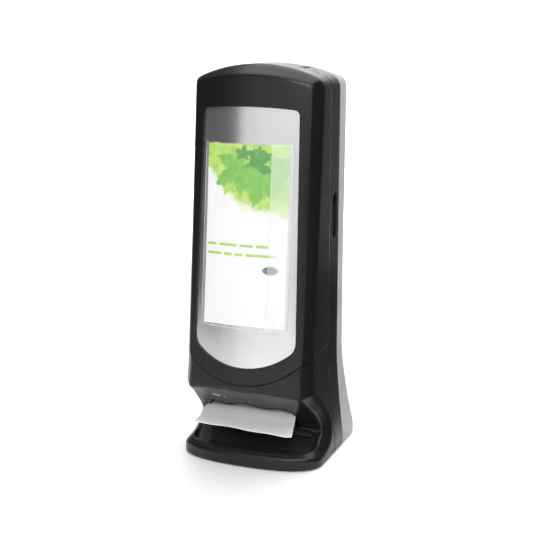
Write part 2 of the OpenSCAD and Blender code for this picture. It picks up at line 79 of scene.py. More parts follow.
REAR_CROWN = ((GREY_Y, 622), (60, 611), (75, 592), (REAR_Y, 568))
HINGE_X, HINGE_R, HINGE_HALF, HINGE_ZS = -106.85, 5.2, 19.5, (233.3, 533.3)
GRIP_Y, GRIP_Z, GRIP_R, GRIP_HALF = 13.5, 386.5, 8.5, 28.0


# ---------------------------------------------------------------- shape functions, below 0 inside the form
def smax(a, b, k):
    """The larger of two, rounded over where they are within k of each other."""
    h = np.maximum(k - np.abs(a - b), 0.0) / k
    return np.maximum(a, b) + h * h * k * 0.25


def smin(a, b, k):
    return -smax(-a, -b, k)


def step(a, b, t):
    t = np.clip((t - a) / (b - a), 0, 1)
    return t * t * (3 - 2 * t)


def lean_frame(y, z):
    dy, dz = y - FACE_Y, z - FACE_Z
    return dy * CL - dz * SL, dy * SL + dz * CL


def flare(z):
    """How much wider than the body each side is at that height."""
    return FLARE * np.clip((FLARE_TOP - np.maximum(z, FLARE_LOW)) / (FLARE_TOP - FLARE_LOW), 0, 1) ** 1.5


def half_w(z):
    return BODY_HALF + flare(z)


def front_view(x, z):
    """The body's outline from the front: straight sides, round shoulders and an arch."""
    ax, az = np.abs(x) - SHOULDER_X, z - SHOULDER_Z
    shoulder = (az > 0) & (ax * SHOULDER_SIN - az * SHOULDER_COS > 0)
    arch = np.hypot(x, np.maximum(z - ARCH_Z, 0)) - ARCH_R
    return np.where(shoulder, np.hypot(ax, az) - SHOULDER_R, np.maximum(np.abs(x) - half_w(z), arch))


def bowed(x, y, z):
    v, _ = lean_frame(y, z)
    return np.hypot(x, v - BOW) - BOW


def crown(x, y, z):
    """The sloping band between the face and the top."""
    up = np.maximum(z - CROWN_Z, 1.0)
    d = (np.hypot(x, up) - CROWN_R - (y + CROWN_Y) * CROWN_SLOPE) / 1.2207
    return np.where(z > 440, d, OUTSIDE)


def smile(x, y, z):
    """The seam between the door, above it, and the dispensing front."""
    turn_r = 12.0
    turn = np.clip(y + 20, 0, turn_r)
    side = SIDE_SEAM_Z + SIDE_SEAM_RISE * np.clip(y + 85, 0, 90)
    side = side + turn_r - np.sqrt(np.maximum(turn_r ** 2 - turn * turn, 0.0))
    return smin(np.hypot(x, z - SMILE_Z) - SMILE_R, side - z, 5)


def window(x, z):
    """The display window: sides that close in upwards, and an arc at the top and at the foot."""
    half, foot_z, taper = 83.8, 199, 0.02048
    top_r, top_z, foot_r, foot_cz = 650.25, -91.75, 122.9, 284.9
    side = np.abs(x) - (half - (z - foot_z) * taper)
    top = np.hypot(x, z - top_z) - top_r
    foot = np.where(z < foot_cz, np.hypot(x, z - foot_cz) - foot_r, OUTSIDE)
    return smax(smax(side, top, 9), foot, 9)


def front_form(x, y, z, set_in=0.0, edge=3.5):
    """The whole front of the body: bowed face, chamfered sides and sloping crown."""
    col = bowed(x, y, z)
    side = front_view(x, z)
    chamfer = (CHAMFER_D * (np.abs(x) - (BODY_HALF - CHAMFER_W) - flare(z)) + CHAMFER_W * col) / CHAMFER_LEN
    top = crown(x, y, z)
    d = smax(side + set_in, chamfer + set_in, edge)
    d = smax(d, top + set_in, edge + 1.0)
    return smax(d, col + set_in, edge)


def polyline(a, b, pts, closed=False):
    """Distance to a polyline in the plane of a and b."""
    best = None
    n = len(pts)
    for i in range(n if closed else n - 1):
        (pa, pb), (qa, qb) = pts[i], pts[(i + 1) % n]
        ua, ub = qa - pa, qb - pb
        t = np.clip(((a - pa) * ua + (b - pb) * ub) / (ua * ua + ub * ub), 0, 1)
        d = np.hypot(a - pa - t * ua, b - pb - t * ub)
        best = d if best is None else np.minimum(best, d)
    return best


def inside(a, b, pts):
    odd = None
    n = len(pts)
    for i in range(n):
        (pa, pb), (qa, qb) = pts[i], pts[(i + 1) % n]
        if pb == qb:
            continue
        hit = ((pb > b) != (qb > b)) & (a < (qa - pa) * (b - pb) / (qb - pb) + pa)
        odd = hit if odd is None else odd ^ hit
    return odd


def outline(a, b, pts):
    return np.where(inside(a, b, pts), -1.0, 1.0) * polyline(a, b, pts, True)


def rounded(pts, n=4):
    """A smooth (Catmull-Rom) line through pts, n points to each stretch."""
    out, last = [], len(pts) - 1
    for i in range(last):
        p = [pts[min(max(i + k, 0), last)] for k in (-1, 0, 1, 2)]
        for t in (k / n for k in range(n)):
            out.append(tuple(0.5 * (2 * b + (c - a) * t + (2 * a - 5 * b + 4 * c - d) * t * t
                                    + (3 * b - a - 3 * c + d) * t ** 3) for a, b, c, d in zip(*p)))
    return out + [tuple(pts[-1])]


# The scoop's side view (y, z), from the face down round its back and out along the tray
SCOOP = rounded([(-150, 146.6), (-125, 129.5), (-106, 116.5), (-87, 103.5), (-72, 91.5), (-58, 79.5),
                 (-46, 68), (-38, 58), (-34, 50), (-35.5, 43.5), (-43, 38), (-53, 32.5), (-65, 28.8),
                 (-82, 27.4), (-102, 26.8), (-150, 26.4)])
SCOOP_AREA = SCOOP + [(-150, -60), (300, -60), (300, 300), (-150, 300)]
# The slot's wavy upper edge from the front (x, z)
LIP = rounded([(-84, 56), (-83.4, 70), (-81, 80), (-74, 84.3), (-64, 83), (-52, 79.6), (-42, 79.6),
               (-32, 82.5), (-20, 86), (-8, 84.5), (6, 80.2), (20, 79.2), (34, 81.6), (46, 84), (54, 83.2),
               (60, 79.5), (64, 72), (65.6, 62), (65.8, 50)])
LIP_AREA = LIP + [(65.8, 40), (-84, 40)]


def field(pts, a0, a1, b0, b1, cell=0.5):
    """The signed distance to an outline, kept on a fine grid, as a function."""
    na, nb = int((a1 - a0) / cell) + 1, int((b1 - b0) / cell) + 1
    A, B = a0 + cell * np.arange(na), b0 + cell * np.arange(nb)
    G = outline(A[:, None], B[None, :], pts)

    def at(a, b):
        u = np.clip((a - a0) / cell, 0, na - 1.001)
        v = np.clip((b - b0) / cell, 0, nb - 1.001)
        i, j = u.astype(int), v.astype(int)
        u, v = u - i, v - j
        near = G[i, j] * (1 - u) + G[i + 1, j] * u
        far = G[i, j + 1] * (1 - u) + G[i + 1, j + 1] * u
        return near * (1 - v) + far * v
    return at


scoop_side = field(SCOOP_AREA, -150, 10, -10, 200)
lip_front = field(LIP_AREA, -100, 100, 20, 110)


def plan(x, y):
    """Signed distance to the tray's rounded outline, seen from above: half of a superellipse."""
    start, depth = 62, 55.5
    u = np.abs(x) / BASE_HALF
    w = np.maximum(-(y + start), 0) / depth
    f = np.maximum(u ** 2.5 + w ** 2.5, 1e-6)
    g = f ** 0.4
    gu = f ** -0.6 * u ** 1.5 / BASE_HALF
    gw = f ** -0.6 * w ** 1.5 / depth
    d = (g - 1) / np.maximum(np.hypot(gu, gw), 2e-3)
    return np.where(w > 0, d, np.abs(x) - BASE_HALF)


def scoop_q(x, y, z):
    """The bowed face with the scoop taken out of it."""
    return smax(scoop_side(y + 0 * z, z + 0 * y) + 0 * x, bowed(x, y, z), 4)


def tray_floor(y):
    """Height of the trough's floor, rising to the lower lip."""
    ys = [-120, -104, -97, -90, -82, -72, -66, -60, -54, -48, -42, -36, -30, 0]
    zs = [26, 20, 15.5, 12.6, 11.8, 13.4, 17, 22.5, 28.4, 33.6, 37.6, 39.7, 40.6, 41]
    return np.interp(y, ys, zs)


def box_form(x, y, z, middle, half):
    (cx, cy, cz), (hx, hy, hz) = middle, half
    return np.maximum(np.maximum(np.abs(x - cx) - hx, np.abs(y - cy) - hy), np.abs(z - cz) - hz)


def dispensing(x, y, z):
    """The lower moulding: scoop, cheeks, slot and rounded tray, open at the back."""
    tray = z < 46
    side = np.where(tray, plan(x, y) + FLARE - flare(z), np.abs(x) - half_w(z))
    q = scoop_q(x, y, z)
    t = step(-56, -104, y)                               # towards the front the chamfer turns into a rim
    wide, deep = CHAMFER_W + 4 * t, np.where(tray, 15 - 8.3 * t, CHAMFER_D)
    chamfer = (deep * (side + wide) + wide * q) / np.hypot(wide, deep)
    d = smax(smax(side, chamfer, 4.0), q, 3.5)
    d = smax(d, SKIRT - z, 2.0)
    d = smax(d, y - SEAM_Y + SEAM_GAP, 0.9)
    d = smax(d, -smile(x, y, z) + SMILE_GAP, 1.4)
    hollow = np.maximum(np.maximum(side + 4, chamfer + 5), np.maximum(q + 4.5, 50 - z))
    hollow = np.maximum(hollow, -np.maximum(smile(x, y, z) - 5, y + 98))
    d = smax(d, -hollow, 1.0)
    trough = smax(plan(x, y) + 15.0, tray_floor(y) - z, 9)
    trough = smax(smax(trough, y + 33, 2), z - 47, 2)
    d = smax(d, -trough, 3.5)
    slot = smax(lip_front(x + 0 * z, z + 0 * x) + 0 * y, np.abs(y + 44) - 40, 1)
    d = smax(d, -slot, 1.2)
    slit = smax(smax(np.abs(x + 8) - 92, np.abs(z - 41.2) - 1.1, 1.0), np.abs(y + 22) - 24, 1)
    d = smax(d, -slit, 0.6)
    throat = np.minimum(box_form(x, y, z, (0, -18, 51), (89.5, 11, 11)),
                        box_form(x, y, z, (0, -24, 22), (89.5, 20, 17.3)))
    return np.maximum(d, -throat)


def hinge_notch(x, y, z):
    """The reliefs for the two hinge knuckles, in the seam's left edge."""
    round_part = np.hypot(x - HINGE_X, y - SEAM_Y + 0.15) - HINGE_R
    ends = np.minimum(*(np.abs(z - c) for c in HINGE_ZS)) - HINGE_HALF
    return np.maximum(round_part, ends)


def door(x, y, z):
    """The front cover: a shell with the window through it."""
    d = front_form(x, y, z)
    d = smax(d, y - SEAM_Y + SEAM_GAP, 0.9)
    d = smax(d, smile(x, y, z) + SMILE_GAP, 1.4)
    well = np.maximum(window(x, z), y + 50)
    d = smax(d, -well, 2.0)
    hollow = front_form(x, y, z, WALL, 1.5)
    d = smax(d, -hollow, 0.8)
    return smax(d, -hinge_notch(x, y, z), 0.8)


def rear_top(y, z):
    d = OUTSIDE
    for (y0, z0), (y1, z1) in zip(REAR_CROWN, REAR_CROWN[1:]):
        d = smax(d, ((z0 - z1) * (y - y0) + (y1 - y0) * (z - z0)) / math.hypot(y1 - y0, z1 - z0), 9)
    return d


def back_depth(y, z):
    return y - REAR_Y - flare(z) * REAR_FLARE


def rear_form(x, y, z, set_in=0.0):
    """The rear of the body, with chamfered upright corners that sharpen towards the top."""
    d = smax(front_view(x, z) + set_in, np.where(y > 20, rear_top(y, z), OUTSIDE) + set_in, 5)
    reach = BODY_HALF + REAR_Y - REAR_CORNER + flare(z) * (1 + REAR_FLARE)
    corner = (np.abs(x) + y - reach) * 0.7071
    d = smax(d, corner + set_in, 9 - 6 * np.clip((z - 320) / 220, 0, 1))
    d = smax(d, back_depth(y, z) + set_in, 9)
    return smax(d, SKIRT - z + set_in, 1.5)


def housing(x, y, z):
    """The black ring behind the seam, with the latch's slot in its right wall."""
    d = rear_form(x, y, z)
    d = smax(d, SEAM_Y + HOUSING_GAP - y, 0.7)
    d = smax(d, y - GREY_Y, 1.1)
    d = smax(d, -np.maximum(rear_form(x, y, z, WALL), -50 + 0 * y), 0.8)
    grip = np.hypot(y - GRIP_Y, np.maximum(np.abs(z - GRIP_Z) - GRIP_HALF, 0)) - GRIP_R
    d = smax(d, -np.maximum(grip, 90 - x), 1.5)
    return smax(d, -hinge_notch(x, y, z), 0.8)


def back_shell(x, y, z):
    """The grey rear shell, with shallow vents low on its back."""
    d = rear_form(x, y, z)
    d = smax(d, GREY_Y + COVER_GAP - y, 1.1)
    d = smax(d, -rear_form(x, y, z, WALL), 0.8)
    pitch, groove, vent_half, vent_z, vent_deep = 14.0, 1.4, 46, 95, 1.6
    rib = np.abs(np.mod(z - 60 + 0 * x, pitch) - pitch / 2) - groove
    grille = smax(smax(rib, np.abs(x) - vent_half, 1.5), np.maximum(np.abs(z - vent_z) - 28, 60 - y), 1.5)
    return smax(d, -smax(grille, -(back_depth(y, z) + vent_deep), 1.0), 1.0)


def axis(*spans):
    """Grid lines: (from, to, step) spans joined end to end."""
    out = [spans[0][0]]
    for a, b, s in spans:
        n = max(1, int(round((b - a) / s)))
        out += [a + (b - a) * (i + 1) / n for i in range(n)]
    return np.array(out, float)


def rise(x, z):
    """How far the grid's level lines bend, to run along the smile-shaped seam below and the arch on top."""
    seam_foot = 135.5
    seam = SMILE_Z - np.sqrt(SMILE_R ** 2 - np.minimum(np.abs(x), 94) ** 2) - seam_foot
    arch = np.sqrt(ARCH_R ** 2 - np.minimum(np.abs(x), 91) ** 2) - ARCH_R
    return seam * step(88, 130, z) * step(260, 205, z) + arch * step(540, 590, z)


def surface(f, xs, ys, zs, bend):
    """A quad skin of f = 0 on a grid of lines, with its corners moved onto the true surface.

    Each cell that the surface crosses holds one corner, at the mean of the crossings on the cell's edges."""
    polish, stride, reach = 4, 1.2, 2.6                  # passes, and how far each and all may move a corner
    X, Y, Z = xs[:, None, None], ys[None, :, None], zs[None, None, :]
    if bend:
        Z = Z + rise(X, Z)
    D = np.broadcast_to(f(X, Y, Z), (len(xs), len(ys), len(zs))).astype(np.float64)
    D = np.where(np.abs(D) < 1e-6, 1e-6, D)
    neg = D < 0
    nx, ny, nz = D.shape
    acc = np.zeros((nx - 1, ny - 1, nz - 1, 3))
    cnt = np.zeros((nx - 1, ny - 1, nz - 1))
    lines = (xs, ys, zs)
    crossings = []
    for ax in range(3):
        lo, hi = [slice(None)] * 3, [slice(None)] * 3
        lo[ax], hi[ax] = slice(0, -1), slice(1, None)
        cross = neg[tuple(lo)] != neg[tuple(hi)]
        idx = np.argwhere(cross)
        i, j, k = idx.T
        up = idx.copy()
        up[:, ax] += 1
        a, b = D[i, j, k], D[up[:, 0], up[:, 1], up[:, 2]]
        t = a / (a - b)
        p = np.stack([xs[i], ys[j], zs[k]], 1)
        p[:, ax] += t * (lines[ax][up[:, ax]] - lines[ax][idx[:, ax]])
        o1, o2 = [q for q in range(3) if q != ax]
        for d1 in (0, 1):
            for d2 in (0, 1):
                c = idx.copy()
                c[:, o1] -= d1
                c[:, o2] -= d2
                ok = (c >= 0).all(1) & (c[:, 0] < nx - 1) & (c[:, 1] < ny - 1) & (c[:, 2] < nz - 1)
                np.add.at(acc, tuple(c[ok].T), p[ok])
                np.add.at(cnt, tuple(c[ok].T), 1)
        crossings.append((ax, idx, neg[i, j, k]))
    used = cnt > 0
    ids = np.full(cnt.shape, -1)
    ids[used] = np.arange(used.sum())
    pts = acc[used] / cnt[used][:, None]
    if bend:
        pts[:, 2] += rise(pts[:, 0], pts[:, 2])
    quads = []
    for ax, idx, was in crossings:
        o1, o2 = (ax + 1) % 3, (ax + 2) % 3
        cells = []
        for d1, d2 in ((1, 1), (0, 1), (0, 0), (1, 0)):
            c = idx.copy()
            c[:, o1] -= d1
            c[:, o2] -= d2
            cells.append(c)
        ok = np.ones(len(idx), bool)
        for c in cells:
            ok &= (c >= 0).all(1) & (c[:, 0] < nx - 1) & (c[:, 1] < ny - 1) & (c[:, 2] < nz - 1)
        q = np.stack([ids[tuple(c[ok].T)] for c in cells], 1)
        q[~was[ok]] = q[~was[ok]][:, ::-1]
        quads.append(q)
    quads = np.concatenate(quads)

    def value(p):
        return f(p[:, 0], p[:, 1], p[:, 2])

    def slope(p, h=0.06):
        g = np.empty_like(p)
        for c in range(3):
            e = np.zeros(3)
            e[c] = h
            g[:, c] = (value(p + e) - value(p - e)) / (2 * h)
        return g

    start = pts.copy()
    for _ in range(polish):
        v, g = value(pts), slope(pts)
        n2 = np.maximum((g * g).sum(1), 0.2)
        move = -(v / n2)[:, None] * g
        size = np.linalg.norm(move, axis=1, keepdims=True)
        pts = pts + move * np.minimum(1, stride / np.maximum(size, 1e-9))
        off = pts - start
        far = np.linalg.norm(off, axis=1, keepdims=True)
        pts = start + off * np.minimum(1, reach / np.maximum(far, 1e-9))
    g = slope(pts, 0.25)
    g /= np.maximum(np.linalg.norm(g, axis=1, keepdims=True), 1e-9)
    face = np.cross(pts[quads[:, 2]] - pts[quads[:, 0]], pts[quads[:, 3]] - pts[quads[:, 1]])
    own = np.zeros_like(pts)
    for c in range(4):
        np.add.at(own, quads[:, c], face)
    own /= np.maximum(np.linalg.norm(own, axis=1, keepdims=True), 1e-9)
    stray = (g * own).sum(1) < 0.6                       # where the form's slope disagrees with the faces
    g[stray] = own[stray]
    return pts, quads, g


def mm(points):
    """Points in the body's millimetres, in the frame's metres."""
    p = np.array(points, float).reshape(-1, 3).copy()
    p[:, 1] += OVERHANG
    return p * 0.001


def mesh_object(name, pts, faces, normals=None):
    me = bpy.data.meshes.new(name)
    me.from_pydata([tuple(p) for p in mm(pts)], [], [tuple(int(i) for i in f) for f in faces])
    me.validate()
    me.update()
    me.polygons.foreach_set("use_smooth", [True] * len(me.polygons))
    if normals is not None:
        me.normals_split_custom_set_from_vertices([tuple(n) for n in normals])
    ob = bpy.data.objects.new(name, me)
    bpy.context.scene.collection.objects.link(ob)
    return ob


# ---------------------------------------------------------------- materials
class Shade:
    """A small node-graph builder for one material, laid out in object coordinates."""

    SOCKETS = dict(rough="Roughness", spec="Specular IOR Level", metal="Metallic", alpha="Alpha",
                   coat="Coat Weight", coat_rough="Coat Roughness",
                   sheen="Sheen Weight", sheen_rough="Sheen Roughness")

    def __init__(self, name):
        self.m = bpy.data.materials.new(name)
        self.m.use_nodes = True
        self.t = self.m.node_tree
        self.bsdf = next(n for n in self.t.nodes if n.type == "BSDF_PRINCIPLED")
        self.co = self.t.nodes.new("ShaderNodeTexCoord").outputs["Object"]

    def node(self, kind, **values):
        n = self.t.nodes.new(kind)
        for k, v in values.items():
            setattr(n, k, v)
        return n

    def link(self, a, b):
        self.t.links.new(a, b)

    def noise(self, scale, detail, rough, stretch=None):
        n = self.node("ShaderNodeTexNoise")
        n.inputs["Scale"].default_value = scale
        n.inputs["Detail"].default_value = detail
        n.inputs["Roughness"].default_value = rough
        src = self.co
        if stretch:
            m = self.node("ShaderNodeMapping")
            m.inputs["Scale"].default_value = stretch
            self.link(self.co, m.inputs["Vector"])
            src = m.outputs["Vector"]
        self.link(src, n.inputs["Vector"])
        return n.outputs["Fac"]

    def span(self, fac, lo, hi, a=0.3, b=0.7):
        """Takes fac from a..b to lo..hi."""
        n = self.node("ShaderNodeMapRange")
        n.inputs["From Min"].default_value = a
        n.inputs["From Max"].default_value = b
        n.inputs["To Min"].default_value = lo
        n.inputs["To Max"].default_value = hi
        self.link(fac, n.inputs["Value"])
        return n.outputs["Result"]

    def math(self, op, a, b=None, c=None, clamp=False):
        n = self.node("ShaderNodeMath", operation=op, use_clamp=clamp)
        for i, v in enumerate((a, b, c)):
            if v is None:
                continue
            if isinstance(v, (int, float)):
                n.inputs[i].default_value = v
            else:
                self.link(v, n.inputs[i])
        return n.outputs[0]

    def mix(self, fac, a, b):
        n = self.node("ShaderNodeMix", data_type="RGBA")
        for s, v in ((n.inputs[0], fac), (n.inputs[6], a), (n.inputs[7], b)):
            if isinstance(v, (int, float)):
                s.default_value = v
            elif isinstance(v, tuple):
                s.default_value = (*v, 1) if len(v) == 3 else v
            else:
                self.link(v, s)
        return n.outputs[2]

    def xyz(self):
        n = self.node("ShaderNodeSeparateXYZ")
        self.link(self.co, n.inputs[0])
        return n.outputs

    def facing_up(self):
        g = self.node("ShaderNodeNewGeometry")
        s = self.node("ShaderNodeSeparateXYZ")
        self.link(g.outputs["Normal"], s.inputs[0])
        return self.span(s.outputs["Z"], 0, 1, 0.35, 0.95)

    def edges(self):
        g = self.node("ShaderNodeNewGeometry")
        return self.span(g.outputs["Pointiness"], 0, 1, 0.52, 0.6)

    def bump(self, height, strength, distance):
        n = self.node("ShaderNodeBump")
        n.inputs["Strength"].default_value = strength
        n.inputs["Distance"].default_value = distance
        self.link(height, n.inputs["Height"])
        if self.bsdf.inputs["Normal"].links:
            self.link(self.bsdf.inputs["Normal"].links[0].from_socket, n.inputs["Normal"])
        self.link(n.outputs["Normal"], self.bsdf.inputs["Normal"])

    def set(self, **values):
        for k, v in values.items():
            s = self.bsdf.inputs[self.SOCKETS[k]]
            if isinstance(v, (int, float)):
                s.default_value = v
            else:
                self.link(v, s)

    def colour(self, c):
        self.link(c, self.bsdf.inputs["Base Color"])


def scaled(colour, k, add=0.0):
    return tuple(min(1, c * k + add) for c in colour)


def plastic(name, base, rough, spread=0.05, grain=900.0, grain_depth=0.00004, spec=0.5, dust=0.10, wear_and_highlight=0.25,
            lift=1.35):
    """Moulded plastic: spark texture, tone drift, handling marks with a painted highlight on convex edges,
    and a little dust on what faces up.
    """
    s = Shade(name)
    broad = s.noise(9.0, 4.0, 0.6)
    smear = s.noise(34.0, 5.0, 0.65, stretch=(1, 1, 0.25))
    fine = s.noise(grain, 2.0, 0.5)
    speck = s.noise(420.0, 2.0, 0.6)
    a = s.mix(s.span(broad, 0, 1), scaled(base, 0.86), scaled(base, 1.14))
    # Convex edges, found by pointiness, get lighter and glossier: partly edge wear, partly a painted
    # highlight
    edge_wear_and_highlight = s.math("MULTIPLY", s.edges(), s.span(smear, 0, wear_and_highlight, 0.35, 0.7))
    a = s.mix(edge_wear_and_highlight, a, scaled(base, lift, 0.02))
    film = s.math("MULTIPLY", s.facing_up(), s.span(speck, 0.15, dust * 2, 0.42, 0.75))
    s.colour(s.mix(s.math("MULTIPLY", film, dust * 2.4, clamp=True), a, (0.55, 0.54, 0.52)))
    handled = s.span(smear, rough - spread, rough + spread, 0.25, 0.75)
    r = s.math("ADD", handled, s.math("MULTIPLY", film, 0.25))
    s.set(rough=s.math("SUBTRACT", r, s.math("MULTIPLY", edge_wear_and_highlight, 0.06), clamp=True), spec=spec)
    s.bump(fine, 0.35, grain_depth)
    s.bump(broad, 0.25, 0.00025)
    return s.m


def metal(name, base, rough, spread, tarnish):
    """Brushed metal with dull blotches."""
    s = Shade(name)
    brush = s.noise(480.0, 2.0, 0.5, stretch=(1, 1, 30))
    blot = s.noise(45.0, 4.0, 0.6)
    a = s.mix(s.span(blot, 0, tarnish, 0.4, 0.75), base, scaled(base, 0.55))
    s.colour(s.mix(s.span(brush, 0, 0.25), a, scaled(base, 1.2)))
    r = s.math("ADD", s.span(brush, rough - spread, rough + spread), s.span(blot, 0, 0.12, 0.45, 0.8))
    s.set(metal=1.0, rough=r)
    s.bump(brush, 0.3, 0.00002)
    return s.m


def paper(name, base, tint):
    """Soft paper: fibres, a fine embossed pattern and slow waves."""
    s = Shade(name)
    fibre = s.noise(1500.0, 3.0, 0.7)
    cloud = s.noise(28.0, 4.0, 0.6)
    s.colour(s.mix(s.span(cloud, 0, 0.35), base, tint))
    s.set(rough=s.span(fibre, 0.82, 0.96), spec=0.12, sheen=0.15, sheen_rough=0.5)
    s.bump(fibre, 0.5, 0.00008)
    v = s.node("ShaderNodeTexVoronoi", feature="SMOOTH_F1")
    v.inputs["Scale"].default_value = 420.0
    s.link(s.co, v.inputs["Vector"])
    s.bump(v.outputs["Distance"], 0.45, 0.00025)
    s.bump(cloud, 0.4, 0.0006)
    return s.m


def silver(name):
    """Metallic paint with fine flake and a few upright scuffs."""
    s = Shade(name)
    flake = s.noise(2600.0, 2.0, 0.6)
    cloud = s.noise(14.0, 4.0, 0.55, stretch=(1, 1, 0.4))
    scuff = s.noise(120.0, 4.0, 0.65, stretch=(1, 1, 6))
    s.colour(s.mix(s.span(cloud, 0, 1), (0.66, 0.66, 0.68), (0.76, 0.76, 0.77)))
    r = s.math("ADD", s.span(flake, 0.17, 0.22), s.span(scuff, 0.0, 0.05, 0.45, 0.8))
    s.set(metal=0.9, rough=r, coat=0.2, coat_rough=0.12)
    s.bump(flake, 0.18, 0.00002)
    return s.m


def clear(name, haze, tint=(0.93, 0.95, 0.95)):
    """Clear polycarbonate with faint wiping marks."""
    s = Shade(name)
    wipe = s.noise(60.0, 5.0, 0.6, stretch=(1, 1, 0.3))
    speck = s.noise(700.0, 2.0, 0.6)
    s.colour(s.mix(s.span(wipe, 0, 1), tint, scaled(tint, 0.96)))
    s.set(rough=s.math("ADD", s.span(wipe, 0.22, 0.30), s.span(speck, 0, 0.03, 0.6, 0.8)), spec=0.3)
    s.set(alpha=s.math("ADD", s.span(wipe, haze * 0.92, haze * 1.08), s.span(speck, 0, 0.01, 0.66, 0.8)))
    return s.m


def card_print(name):
    """White coated card with a green wash that fades out in a soft, uneven edge below the leaves."""
    s = Shade(name)
    x, _, z = s.xyz()
    cloud = s.noise(26.0, 5.0, 0.6)
    blot = s.noise(70.0, 4.0, 0.6)
    fibre = s.noise(1800.0, 2.0, 0.6)
    # The wash ends at a height that falls from the card's left edge to its right, and fades out over 16 mm
    fall = s.math("EXPONENT", s.math("MULTIPLY", s.math("ADD", x, 0.068), -22.0))
    edge = s.math("ADD", s.math("MULTIPLY_ADD", fall, 0.078, 0.386), s.span(cloud, -0.010, 0.010))
    wash = s.math("MULTIPLY", s.math("SUBTRACT", z, edge), 62.0, clamp=True)
    green = s.mix(s.span(blot, 0, 1, 0.38, 0.62), (0.30, 0.58, 0.055), (0.55, 0.72, 0.13))
    green = s.mix(s.span(cloud, 0, 0.75, 0.5, 0.66), green, (0.13, 0.42, 0.03))
    faded = s.math("MULTIPLY", s.math("SUBTRACT", 1.0, wash), 0.8, clamp=True)
    green = s.mix(faded, green, (0.74, 0.84, 0.46))
    white = s.mix(s.span(cloud, 0, 0.5), (0.86, 0.87, 0.875), (0.83, 0.845, 0.85))
    s.colour(s.mix(wash, white, green))
    s.set(rough=s.span(fibre, 0.34, 0.44), spec=0.25, coat=0.08, coat_rough=0.2)
    s.bump(fibre, 0.25, 0.00002)
    return s.m


def ink(name, base, other, rough=0.38):
    """A printed ink that drifts between two tones."""
    s = Shade(name)
    blot = s.noise(110.0, 5.0, 0.65)
    fine = s.noise(900.0, 2.0, 0.6)
    s.colour(s.mix(s.span(blot, 0, 1, 0.35, 0.68), base, other))
    s.set(rough=s.span(fine, rough - 0.05, rough + 0.05), spec=0.2)
    s.bump(fine, 0.2, 0.00001)
    return s.m


def stage_paint(name, colour, rough):
    s = Shade(name)
    broad = s.noise(0.9, 3.0, 0.5)
    fine = s.noise(40.0, 2.0, 0.5)
    s.colour(s.mix(s.span(broad, 0, 1), scaled(colour, 0.985), colour))
    s.set(rough=s.span(fine, rough - 0.03, rough + 0.03), spec=0.2)
    return s.m


# plastic: colour, roughness and its spread, grain and its depth, specular, dust, edge wear with painted edge
# highlight, lift of those edges
# metal: colour, roughness, its spread, tarnish; paper and ink: two tones; clear: haze, tint
RECIPES = {
    "black_satin": (plastic, (0.0095, 0.0093, 0.0105), 0.30, 0.045, 1500.0, 0.000012, 0.36, 0.02, 0.06),
    "black_texture": (plastic, (0.015, 0.015, 0.016), 0.52, 0.06, 1100.0, 0.00006, 0.35),
    # A darker copy of the black plastic: painted shade, for the latch slide that lies in the shade of its
    # slot
    "recess_black": (plastic, (0.004, 0.004, 0.0042), 0.66, 0.05, 900.0, 0.00004, 0.15, 0.0, 0.05),
    "grey_shell": (plastic, (0.40, 0.40, 0.405), 0.55, 0.05, 1200.0, 0.00004, 0.22, 0.05, 0.3, 1.1),
    "pale_plastic": (plastic, (0.52, 0.525, 0.53), 0.42, 0.06, 900.0, 0.00004, 0.5, 0.08, 0.25, 1.1),
    "bearing_plastic": (plastic, (0.78, 0.76, 0.70), 0.36, 0.05, 900.0, 0.00002, 0.5, 0.10, 0.25, 1.05),
    "foot_rubber": (plastic, (0.022, 0.022, 0.022), 0.78, 0.08, 700.0, 0.0001, 0.3),
    "cast_iron": (plastic, (0.13, 0.13, 0.135), 0.62, 0.08, 260.0, 0.0003, 0.5, 0.15),
    "black_steel": (plastic, (0.02, 0.02, 0.021), 0.40, 0.06, 1000.0, 0.00006),
    "zinc_steel": (metal, (0.60, 0.61, 0.63), 0.34, 0.06, 0.4),
    "bright_steel": (metal, (0.74, 0.74, 0.76), 0.18, 0.04, 0.15),
    "napkin_paper": (paper, (0.97, 0.968, 0.965), (0.95, 0.945, 0.94)),
    "silver_panel": (silver,),
    "clear_pocket": (clear, 0.055),
    "clear_film": (clear, 0.30, (0.97, 0.98, 0.98)),
    "printed_card": (card_print,),
    "ink_leaf": (ink, (0.13, 0.44, 0.03), (0.24, 0.55, 0.045)),
    "ink_leaf_dark": (ink, (0.035, 0.24, 0.025), (0.09, 0.36, 0.03)),
    "ink_leaf_lime": (ink, (0.34, 0.62, 0.055), (0.52, 0.72, 0.10)),
    "ink_vein": (ink, (0.06, 0.24, 0.03), (0.12, 0.36, 0.05)),
    "ink_green": (ink, (0.36, 0.60, 0.08), (0.44, 0.66, 0.14)),
    "ink_grey": (ink, (0.07, 0.075, 0.085), (0.11, 0.115, 0.12)),
    "ink_pale": (ink, (0.42, 0.42, 0.43), (0.52, 0.52, 0.52), 0.45),
    "floor_paint": (stage_paint, (0.93, 0.93, 0.93), 0.6),
    "flag_cloth": (stage_paint, (0.012, 0.012, 0.012), 0.9)}
M = {name: make(name, *how) for name, (make, *how) in RECIPES.items()}

